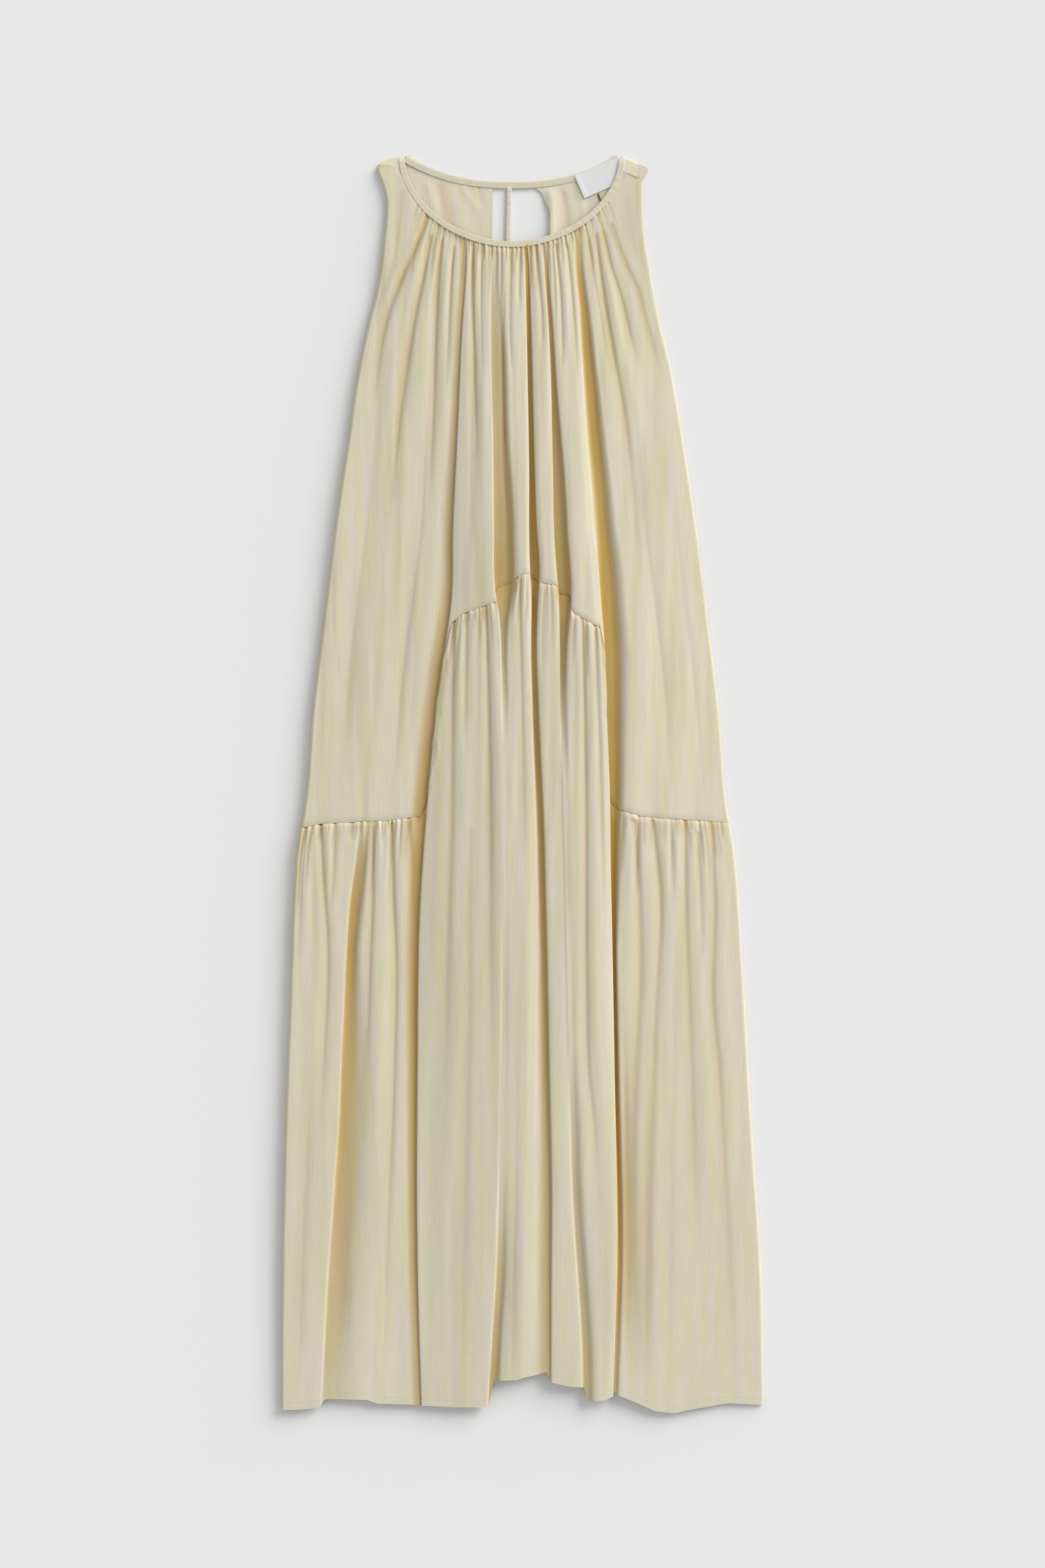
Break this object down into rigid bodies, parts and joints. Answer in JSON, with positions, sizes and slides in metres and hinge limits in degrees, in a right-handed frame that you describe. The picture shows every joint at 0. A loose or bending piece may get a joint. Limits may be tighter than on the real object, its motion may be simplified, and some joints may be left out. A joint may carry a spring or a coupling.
{
  "type": "midi dress",
  "caption": "Sleeveless round-neck midi dress laid out flat, with a gathered neckline, a keyhole at the back neck, deep front folds and a gathered lower tier",
  "frame": {"origin": "middle of the bounding box at its base, on the surface that the dress lies on", "axes": "+X to the right as the front is seen, +Y up the dress towards the neck, +Z out of the front, away from the surface it lies on"},
  "size_m": [0.4999, 1.2998, 0.0222],
  "materials": {
    "dress_crepe": "soft cream crepe, matt, with fine uneven lengthwise slubs and crinkles",
    "binding_crepe": "the same cream crepe, folded and stitched as a narrow binding",
    "label_satin": "plain white satin ribbon with a soft sheen, bare of any text"
  },
  "bodies": {
    "root": {"front_bodice": "dress_crepe", "back_bodice": "dress_crepe", "front_skirt_centre": "dress_crepe", "front_skirt_right": "dress_crepe", "back_skirt": "dress_crepe", "front_neck_binding": "binding_crepe", "back_neck_binding": "binding_crepe", "neck_tie": "binding_crepe", "neck_label": "label_satin", "size_tab": "label_satin"}
  },
  "joints": []
}
